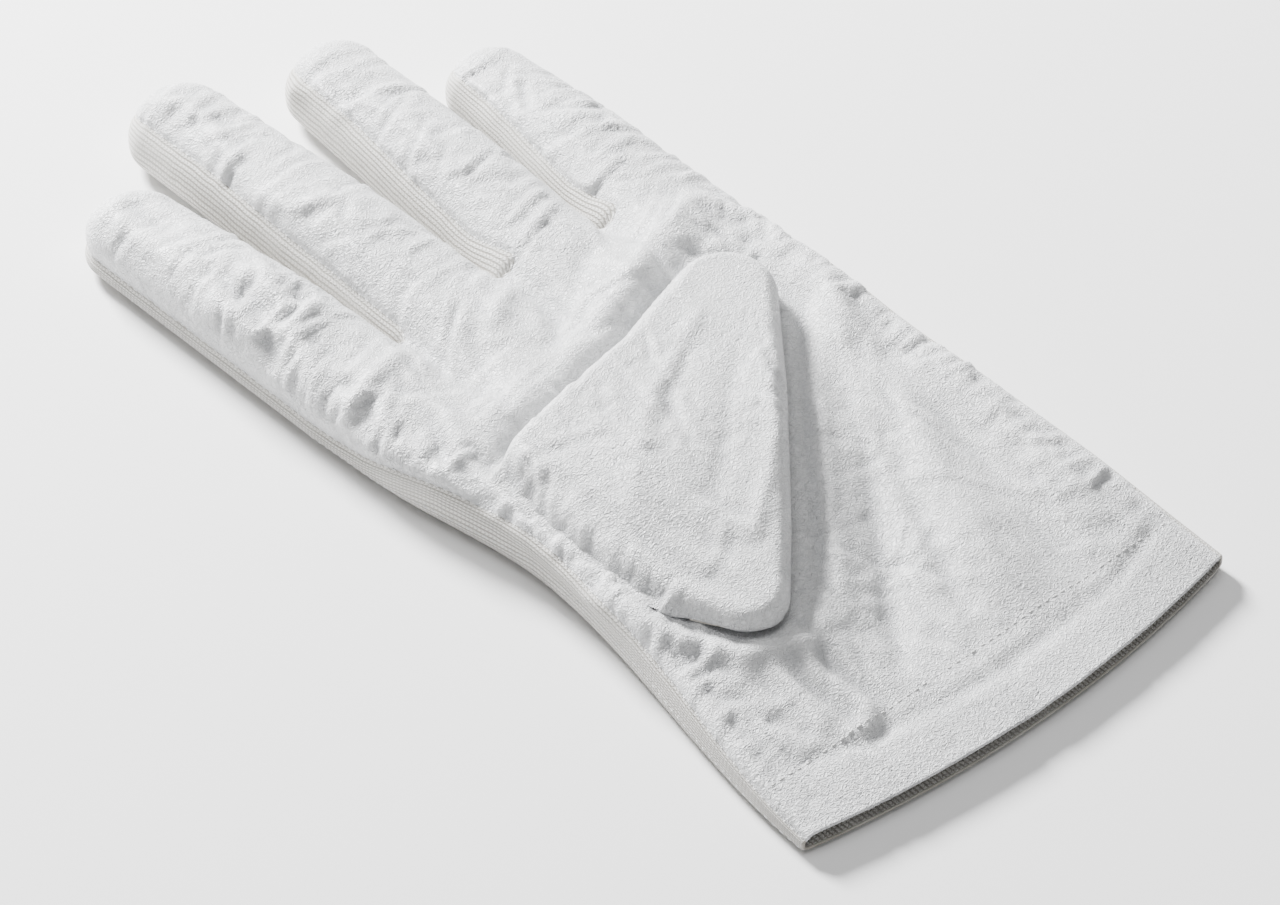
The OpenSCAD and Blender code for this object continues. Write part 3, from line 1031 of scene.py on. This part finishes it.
def knit_paint(name, light, painted_shade, pitch=1.25):
    """Ribbed knit: ribs along the cloth's length, with a zigzag of stitches on each rib."""
    p = Paint(name, light, 0.85)
    split = p.node("ShaderNodeSeparateXYZ", Vector=p.uv)
    sway = p.maths("MULTIPLY", p.maths("SUBTRACT", p.noise(140, 2), 0.5), 0.7)
    u = p.maths("ADD", p.maths("MULTIPLY", split.outputs[0], 1000 / pitch), sway)
    v = p.maths("MULTIPLY", split.outputs[1], 1000 / (0.95 * pitch))
    off = p.maths("PINGPONG", u, 0.5)
    row = p.maths("FRACT", p.maths("ADD", v, p.maths("MULTIPLY", off, 1.1)))
    rib = p.ramp(off, 0.06, 0.34)
    gap = p.ramp(p.maths("ABSOLUTE", p.maths("SUBTRACT", row, 0.5)), 0.28, 0.5, 1.0, 0.25)
    height = p.maths("MULTIPLY", p.ramp(rib, 0.0, 1.0, 0.2, 1.0), gap)
    fuzz = p.noise(1900, 3)
    # painted shade: the knit is darker in the gaps between its ribs and stitches
    tone = p.tint(p.ramp(height, 0.15, 0.7), painted_shade, light)
    tone = p.tint(p.maths("MULTIPLY", p.ramp(p.noise(45, 3), 0.4, 0.7), 0.3), tone, light)
    # painted shade: darker in the cloth's hollows
    hollow = p.hollow()
    tone = p.tint(p.maths("MULTIPLY", p.ramp(hollow, 0.0, 0.2), 0.4), tone, painted_shade)
    p.put(p.shader.inputs["Base Color"], tone)
    normal = p.bump(height, 0.0004, 0.8)
    normal = p.bump(fuzz, 0.00015, 0.5, normal)
    p.put(p.shader.inputs["Normal"], normal)
    p.shader.inputs["Sheen Weight"].default_value = 0.35
    p.shader.inputs["Specular IOR Level"].default_value = 0.2
    return p.material


def fleece_paint():
    p = Paint("fleece_pile", (0.78, 0.75, 0.68), 0.95)
    tuft = p.node("ShaderNodeTexVoronoi", Vector=p.place, Scale=620).outputs["Distance"]
    curl = p.noise(900, 5)
    tone = p.tint(p.ramp(curl, 0.3, 0.7), (0.62, 0.58, 0.5), (0.84, 0.81, 0.74))
    p.put(p.shader.inputs["Base Color"], tone)
    p.put(p.shader.inputs["Normal"], p.bump(curl, 0.0006, 0.8, p.bump(tuft, 0.0008, 0.7)))
    p.shader.inputs["Sheen Weight"].default_value = 0.6
    return p.material


def thread_paint(name, colour):
    p = Paint(name, colour, 0.7)
    split = p.node("ShaderNodeSeparateXYZ", Vector=p.place)
    slant = p.maths("ADD", split.outputs[0], split.outputs[1])
    twist = p.maths("SINE", p.maths("MULTIPLY", slant, 9000))
    tone = p.tint(p.ramp(p.noise(300, 3), 0.3, 0.7), tuple(0.8 * c for c in colour), colour)
    p.put(p.shader.inputs["Base Color"], tone)
    p.put(p.shader.inputs["Normal"], p.bump(twist, 0.0001, 0.6))
    p.shader.inputs["Sheen Weight"].default_value = 0.2
    return p.material


LEATHER = leather_paint()
KNIT = knit_paint("knit_back", (0.80, 0.785, 0.75), (0.40, 0.38, 0.34))
# the sides' knit is a darker copy of the back's: partly a darker tone of its own, partly painted
# shade on sides turned from the light
KNIT_SIDES_SHADED = knit_paint("knit_sides", (0.78, 0.765, 0.73), (0.34, 0.32, 0.285))
FLEECE = fleece_paint()
ELASTIC = thread_paint("elastic_band", (0.66, 0.64, 0.6))
THREAD = thread_paint("sewing_thread", (0.8, 0.8, 0.79))


def finish_of(name):
    """Material, record slot and thickness of a piece."""
    if is_leather(name):
        return LEATHER, "white_leather", 1.1
    if "knit" in name:
        return KNIT, "knit_back", 1.1
    return KNIT_SIDES_SHADED, "knit_sides", 1.1


# ---------------------------------------------------------------- building the glove


def show(cloth, hollow, rolled=None):
    for i, name in enumerate(cloth.names):
        paint, slot, thick = finish_of(name)
        rim = rolled if name in ("hem_leather", "hem_knit") or "cuff_" in name else None
        obj = closed_piece(name + "_piece", cloth, cloth.tags == i, thick, paint,
                           rolled=rim, hollow=hollow)
        attach(obj, name)
        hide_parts(name)


def line_length(points):
    return np.linalg.norm(np.diff(points, axis=0), axis=1).sum()


def stitches(name, cloth, lines, pitch=2.6, length=1.5, lift=-0.08):
    """Short threads along lines of points of a cloth, each sunk a little into its seam."""
    turn = np.linspace(0, 2 * math.pi, 6, endpoint=False)
    rings = [(-0.5, 0.35), (-0.25, 1.0), (0.25, 1.0), (0.5, 0.35)]
    shape = np.array([[s * length, w * 0.3 * math.cos(a), w * 0.24 * math.sin(a)]
                      for s, w in rings for a in turn])
    faces = [[r * 6 + k, r * 6 + (k + 1) % 6, r * 6 + 6 + (k + 1) % 6, r * 6 + 6 + k]
             for r in range(3) for k in range(6)]
    faces += [[5, 4, 3, 2, 1, 0], [18, 19, 20, 21, 22, 23]]
    points, all_faces = [], []
    for ids in lines:
        both = resample(np.concatenate([cloth.co[ids], cloth.normals[ids]], axis=1)[:, :6],
                        max(1, round(line_length(cloth.co[ids]) / pitch)) * 4)
        for k in range(2, len(both) - 2, 4):
            at, up = both[k, :3], both[k, 3:]
            way = both[k + 2, :3] - both[k - 2, :3]
            way /= max(np.linalg.norm(way), 1e-9)
            side = np.cross(up, way)
            side /= max(np.linalg.norm(side), 1e-9)
            up = np.cross(way, side)
            all_faces += [[len(points) * 24 + v for v in f] for f in faces]
            points.append(at + up * lift + shape @ np.stack([way, side, up]))
    mesh = bpy.data.meshes.new(name)
    mesh.from_pydata((np.concatenate(points) * MM).tolist(), [], all_faces)
    mesh.polygons.foreach_set("use_smooth", [True] * len(mesh.polygons))
    mesh.materials.append(THREAD)
    obj = bpy.data.objects.new(name, mesh)
    bpy.context.collection.objects.link(obj)
    attach(obj, name)


# soft folds and creases of the palm side: line in plan, width and height in mm
FOLDS = [
    # from the index finger's crotch down to the thumb, and across the finger's base
    ([(-31, 31), (-43, 8), (-48, -6), (-50, -16)], 2.2, 1.6),
    ([(-34, 27), (-50, 22), (-62, 18)], 2.4, 1.5),
    ([(-36, 20), (-48, 0), (-54, -11)], 3.0, -1.3),
    ([(-44, 56), (-55, 43), (-61, 26)], 2.6, 1.2),
    # crumpled middle of the index finger
    ([(-55, 84), (-53, 70), (-51, 50)], 1.8, -1.1),
    ([(-52, 72), (-56, 56), (-61, 43)], 1.7, -1.3),
    ([(-43, 74), (-47, 64), (-50, 57)], 2.0, 1.0),
    ([(-60, 74), (-59, 62), (-55, 50)], 1.8, 1.2),
    ([(-41, 60), (-47, 52), (-57, 50)], 1.6, -0.9),
    # palm in front of the thumb
    ([(29, 29), (6, 14), (-16, -2), (-28, -10)], 7.0, -1.6),
    ([(-18, 24), (-27, 8), (-33, -9)], 3.5, -1.0),
    ([(5, 31), (-5, 25), (-18, 17)], 2.6, 1.0),
    ([(2, 34), (-2, 20), (-12, 4)], 3.0, 0.9),
    ([(33, 29), (30, 18), (20, 6)], 3.5, 1.2),
    ([(44, 31), (54, 22), (53, 4)], 5.0, -0.8),
    ([(52, 24), (60, 10), (60, -10)], 3.0, 0.9),
    # the palm dips towards the thumb on every side
    ([(-52, -9), (-30, -7), (-2, -1), (20, 8), (36, 15), (60, 24)], 10.0, 4.2),
    ([(-49, -18), (-30, -16), (0, -9), (26, 2), (46, 8)], 3.2, -2.4),
    ([(48, -6), (47, -24), (24, -51), (3, -76), (-18, -100)], 3.2, -2.2),
    ([(60, 0), (56, -26), (32, -58), (12, -82)], 6.0, 2.0),
    # and puffs up round its heel and beside its base
    ([(-56, -30), (-56, -60), (-52, -86), (-44, -100), (-28, -106), (-14, -98)], 4.5, 2.6),
    # tension between the thumb's long edge and the cuff
    ([(47, -36), (30, -60), (10, -88), (-8, -112), (-20, -128)], 7.0, -3.4),
    ([(50, -48), (34, -80), (22, -112), (18, -134)], 8.0, 1.6),
    ([(40, -32), (18, -60), (-2, -86), (-18, -106)], 3.6, 1.6),
    ([(54, -30), (47, -70), (38, -113), (32, -134)], 8.0, -1.7),
    ([(36, -60), (20, -90), (6, -118)], 3.0, -0.9),
    ([(58, -50), (56, -90), (52, -124)], 7.0, 1.2),
    ([(24, -84), (16, -104), (4, -124)], 4.0, -1.0),
    ([(56, -18), (50, -44), (38, -60)], 3.2, 1.3),
    ([(52, -34), (40, -62), (26, -84)], 3.0, -1.0),
    # seam allowance showing through the cuff below the thumb
    ([(-24, -97), (-29, -113), (-27, -129), (-31, -134), (-40, -135)], 1.8, -1.0),
    ([(-28, -98), (-33, -113), (-31, -128), (-36, -131), (-43, -131)], 2.2, 1.3),
    ([(-38, -104), (-42, -116), (-41, -128)], 2.6, 0.8),
    # gathers along the thumb-side seam at the wrist
    ([(-50, -18), (-52, -38), (-51, -60), (-53, -82)], 1.8, 1.0),
    ([(-52, -12), (-54, -24), (-53, -30)], 1.4, -0.9),
    ([(-54, -30), (-50, -37), (-52, -48)], 1.3, -0.8),
    ([(-54, -48), (-51, -56), (-53, -66)], 1.3, -0.8),
    # finger folds
    ([(-27, 100), (-24, 82), (-12, 74)], 2.6, 1.0),
    ([(-22, 64), (-14, 56), (-4, 54)], 2.2, -0.8),
    ([(16, 110), (19, 92), (14, 72)], 2.6, 0.9),
    ([(12, 62), (22, 56), (30, 56)], 2.0, -0.8),
    ([(42, 80), (50, 68), (58, 62)], 2.2, 0.8),
    ([(-24, 128), (-16, 122), (-6, 124)], 2.2, -0.9),
    ([(10, 116), (18, 110), (28, 112)], 2.2, -0.9),
    # facets on the left of the fingertips
    ([(-24, 144), (-18, 134), (-20, 120), (-25, 104)], 2.4, 1.7),
    ([(10, 133), (14, 121), (12, 106)], 2.4, 1.6),
    ([(-56, 116), (-57, 98), (-56, 80)], 2.6, 1.5),
    ([(-49, 119), (-51, 106), (-50, 96)], 2.2, -1.3),
    ([(45, 106), (46, 92), (42, 78)], 2.2, 1.2),
    # edge of the folded hem
    ([(-62, -127), (-34, -134), (0, -138), (40, -135), (64, -128)], 1.6, -0.9),
]
THUMB_FOLDS = [
    ([(22, -16), (4, -27), (-15, -36)], 3.0, 1.1),
    ([(14, -22), (-4, -34), (-18, -44)], 2.6, -1.1),
    ([(26, -30), (4, -60), (-26, -84)], 3.5, 1.2),
    ([(16, -34), (-4, -52), (-24, -70)], 3.0, -0.9),
    ([(-6, -30), (-26, -46), (-42, -60)], 4.0, 0.8),
    ([(-43, -30), (-43, -54), (-39, -80), (-33, -94)], 2.2, -1.2),
    ([(-47, -34), (-47, -56), (-45, -76)], 1.8, 1.0),
    ([(-36, -60), (-30, -76), (-22, -86)], 3.0, -0.8),
]


def wrinkled(cloth, folds, creases, slack, hold, seed):
    """Base cloth with its folds, let go to buckle at two sizes, and pinched along its seams."""
    facing = cloth.normals[:, 2]
    lift = sum(fold(cloth.co, facing, *f) for f in folds)
    cloth = cloth.moved(cloth.co + cloth.normals * lift[:, None])
    cloth = cloth.moved(crumple(cloth.co, cloth.quads, slack(cloth), hold(cloth), 140, seed=seed))
    cloth.co[:, 2] = np.maximum(cloth.co[:, 2], 0.15)
    coarse = cloth.moved(cloth.co)
    cloth = cloth.finer()
    facing = cloth.normals[:, 2] * (cloth.on(is_leather) > 0)
    lift = sum(fold(cloth.co, facing, *c) for c in creases)
    cloth = cloth.moved(cloth.co + cloth.normals * lift[:, None])
    hold_fine = np.maximum(hold(cloth) * 1.6, 0.03)
    cloth = cloth.moved(crumple(cloth.co, cloth.quads, slack(cloth) * 0.8, hold_fine, 70,
                                stiff=0.1, kick=0.12, seed=seed + 1))
    # fine creases: thin valleys where two slow noises change sign
    leather = spread(cloth.on(is_leather), cloth.quads, 1)
    warp = 3.0 * np.stack([smooth_noise(cloth.co, seed + k, 9, 20, 24) for k in (2, 3, 4)], axis=1)
    line = np.abs(smooth_noise(cloth.co + warp, seed + 5, 8, 18, 40))
    where = patches(cloth.co, seed + 6, 26, 0.5)
    cut = -0.34 * np.exp(-(line / 0.10) ** 2) * where * leather
    seam = spread(cloth.seams(), cloth.quads, 1)
    pinch = -0.95 * seam + 0.28 * spread(seam, cloth.quads, 3)
    cloth = cloth.moved(cloth.co + cloth.normals * (cut + pinch)[:, None])
    cloth.co[:, 2] = np.maximum(cloth.co[:, 2], 0.12)
    return cloth.moved(cloth.co), coarse


def skin_slack(cloth):
    """How much longer the cloth is than its smooth shape: most where the photo's glove crumples."""
    x, y = cloth.co[:, 0], cloth.co[:, 1]
    top = cloth.on(is_leather) * ease((cloth.normals[:, 2] + 0.1) / 0.4)
    slack = 0.016 + 0.03 * patches(cloth.co, 11, 22, 0.45)
    slack += 0.07 * np.exp(-(((x + 52) / 11) ** 2 + ((y - 58) / 20) ** 2))
    slack += 0.05 * np.exp(-(((x + 56) / 7) ** 2)) * (y < 30) * (y > -120)
    slack += 0.03 * np.exp(-(((x - 62) / 7) ** 2)) * (y < 20)
    slack = np.where(y < -HEM_START + 2, 0.35 * slack, slack)
    knit = 0.006 + 0.01 * patches(cloth.co, 12, 30, 0.4)
    return np.where(top > 0, slack * top, knit)


def skin_hold(cloth):
    leather = cloth.on(is_leather)
    hold = np.where(leather > 0, 0.012, 0.05)
    hold = np.where(cloth.seams() > 0, 0.10, hold)
    return np.where(cloth.normals[:, 2] < -0.5, 0.08, hold)


def thumb_slack(cloth):
    top = ease((cloth.normals[:, 2] + 0.1) / 0.4)
    slack = 0.008 + 0.024 * patches(cloth.co, 21, 24, 0.35)
    slack += 0.05 * np.exp(-(((cloth.co[:, 0] + 47) / 6) ** 2))
    return slack * top + 0.002


def thumb_hold(cloth):
    hold = np.full(len(cloth.co), 0.015)
    hold = np.where(cloth.normals[:, 2] < 0.1, 0.12, hold)
    return np.where(cloth.co[:, 0] < THUMB_LEFT + 1.5, 0.6, hold)


def start_cloth(skin):
    """The smooth cloth of a skin, before any fold."""
    return Cloth(np.concatenate(skin.points), np.array(skin.quads), np.array(skin.tags),
                 np.array(skin.uvs) * MM, skin.names)


def build_hand_and_cuff():
    """Panels of the hand, cuff and fingers; gives the fine and coarse cloth and the seam ids."""
    skin = build_skin()
    start = start_cloth(skin)
    cloth, coarse = wrinkled(start, FOLDS, palm_creases(), skin_slack, skin_hold, 31)
    hollow = hollow_of(cloth.co, cloth.quads, cloth.normals)
    on_hem = cloth.co[:, 1] < -HEM_CORNER + 3
    show(cloth, spread(hollow, cloth.quads, 1), rolled=on_hem)
    return cloth, coarse, skin.seams


def height_over(coarse):
    """A function that gives the height of a coarse cloth's surface over plan points."""
    tree = BVHTree.FromPolygons(coarse.co.tolist(), coarse.quads.tolist())
    no_cloth = 14.0

    def height(places):
        out = []
        for x, y in places:
            hit = tree.ray_cast(Vector((x, y, 60)), Vector((0, 0, -1)))[0]
            out.append(hit[2] if hit is not None else no_cloth)
        return np.array(out)
    return height


def build_thumb_panels(palm_height):
    skin, upper = build_thumb(palm_height)
    start = start_cloth(skin)
    thumb, coarse = wrinkled(start, THUMB_FOLDS, thumb_creases(), thumb_slack, thumb_hold, 61)
    hollow = hollow_of(thumb.co, thumb.quads, thumb.normals)
    show(thumb, spread(hollow, thumb.quads, 1))
    return thumb, coarse, upper


def liner_of(name):
    """Name of the fleece liner under a piece, or None."""
    part = name.split("_")
    if name in GUSSETS:
        return "hand_liner"
    if part[0] == "thumb":
        return "thumb_liner" if name in ("thumb_front", "thumb_back") else None
    if part[0] in ("hand", "palm"):
        return "hand_liner"
    if part[0] == "cuff":
        return "cuff_liner"
    return None if part[0] == "hem" else "_".join(part[:2] + ["liner"])


def finish_inner(name, obj):
    """Attach an inner piece as its name says and hide the CAD part it replaces."""
    attach(obj, name)
    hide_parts(name)


def build_liners(source):
    """Fleece liners, inside the whole glove except its folded hem."""
    for liner in sorted({liner_of(n) for n in source.names} - {None}):
        tags = np.array([liner_of(n) == liner for n in source.names])
        middle = source.co[source.quads].mean(axis=1)
        pick = tags[source.tags] & (middle[:, 1] > -HEM_START)
        if liner == "thumb_liner":
            pick &= middle[:, 0] > THUMB_BEND[0] + 4
        obj = closed_piece(liner + "_piece", source, pick, 1.2, FLEECE, inset=1.2)
        finish_inner(liner, obj)


def build_wrist_elastic():
    """Gathered elastic inside the back of the wrist."""
    low, high = node_box("wrist_elastic")
    gx, gy = np.meshgrid(np.linspace(low[0], high[0], 97), np.linspace(low[1], high[1], 5),
                         indexing="ij")
    gz = 1.75 + 0.25 * np.sin(gx * 2 * math.pi / 4.0)
    band = Skin()
    band.fill(band.add(np.stack([gx, gy, gz], axis=-1)), lambda r, c: "wrist_elastic", flip=True)
    elastic = start_cloth(band)
    pick = elastic.tags == 0
    obj = closed_piece("wrist_elastic_piece", elastic, pick, 0.5, ELASTIC)
    finish_inner("wrist_elastic", obj)


def sew(cloth, seams, thumb, thumb_top):
    """Threads along the seams of the hand, cuff, fingers and thumb."""
    palm, left, back = seams["palm"], seams["left"], seams["back"]
    hand, cuff = slice(HEM_ROWS + CUFF_ROWS, None), slice(0, HEM_ROWS + CUFF_ROWS + 1)
    stitches("hand_stitches", cloth, [palm[hand, 0], palm[hand, -1], left[hand, 4]])
    stitches("cuff_stitches", cloth, [palm[cuff, 0], palm[cuff, -1], left[cuff, 4],
                                      palm[HEM_ROWS], back[HEM_ROWS]])
    for f, top in zip(FINGERS, seams["tops"]):
        rim = f.rim(top)
        base = f.split + 1
        stitches(f.name + "_base_stitches", cloth, [rim[:base], rim[::-1][:base]])
        stitches(f.name + "_tip_stitches", cloth, [rim[f.split:-f.split]])
    stitches("thumb_stitches", thumb, [thumb_top[6:, 1], thumb_top[6:, -2]])


make_camera()
make_lights()
make_floor()
cloth, coarse, seams = build_hand_and_cuff()
thumb, thumb_coarse, thumb_top = build_thumb_panels(height_over(coarse))
build_liners(coarse)
build_liners(thumb_coarse)
build_wrist_elastic()
sew(cloth, seams, thumb, thumb_top)
